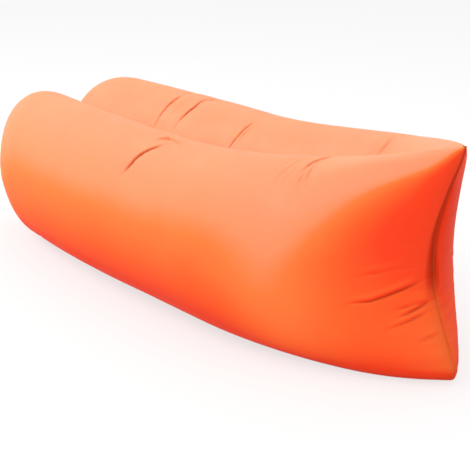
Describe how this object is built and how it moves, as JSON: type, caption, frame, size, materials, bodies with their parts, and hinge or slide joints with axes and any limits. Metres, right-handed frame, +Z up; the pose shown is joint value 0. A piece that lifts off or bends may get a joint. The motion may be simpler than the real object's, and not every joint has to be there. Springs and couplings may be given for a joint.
{
  "type": "air lounger",
  "caption": "Inflatable air lounger: long paired air chambers, a tall thin head closed by a drawn-in seam, and a mouth rolled into a ring and buckled at the foot.",
  "frame": {"origin": "on the floor, in the middle of the lounger's footprint", "axes": "+X along the chambers towards the tall head end, +Z up, -Y towards the near chamber"},
  "size_m": [1.96, 0.788, 0.645],
  "materials": {
    "cover_nylon": "satin ripstop nylon",
    "bladder_film": "clear soft film",
    "seam_tape": "woven tape",
    "stiffener_strip": "plain strip",
    "webbing": "woven strap",
    "buckle_moulding": "fine moulded grain"
  },
  "bodies": {
    "lounger": {"far_chamber_cover": "cover_nylon", "near_chamber_cover": "cover_nylon", "far_air_bladder": "bladder_film", "near_air_bladder": "bladder_film", "centre_seam_strip": "seam_tape", "head_seam_binding": "seam_tape", "rolled_mouth": "cover_nylon", "inner_mouth_stiffener": "stiffener_strip", "outer_mouth_stiffener": "stiffener_strip", "socket_webbing_tab": "webbing", "plug_webbing_tab": "webbing", "buckle_socket": "buckle_moulding"},
    "plug": {"buckle_plug": "buckle_moulding"},
    "near_latch": {"near_latch_arm": "buckle_moulding"},
    "far_latch": {"far_latch_arm": "buckle_moulding"}
  },
  "joints": [
    {"name": "plug_slide", "type": "slide", "parent": "lounger", "child": "plug", "axis": [0, 0, 1], "range_m": [0, 0.026], "deforming": ["near_latch_arm", "far_latch_arm", "plug_webbing_tab"]},
    {"name": "near_latch_squeeze", "type": "hinge", "parent": "plug", "child": "near_latch", "pos_m": [-0.974, -0.0109, 0.25525], "axis": [1, 0, 0], "range_deg": [0, 13], "stiffness_Nm_per_rad": 0.4},
    {"name": "far_latch_squeeze", "type": "hinge", "parent": "plug", "child": "far_latch", "pos_m": [-0.974, 0.0109, 0.25525], "axis": [-1, 0, 0], "range_deg": [0, 13], "stiffness_Nm_per_rad": 0.4}
  ]
}
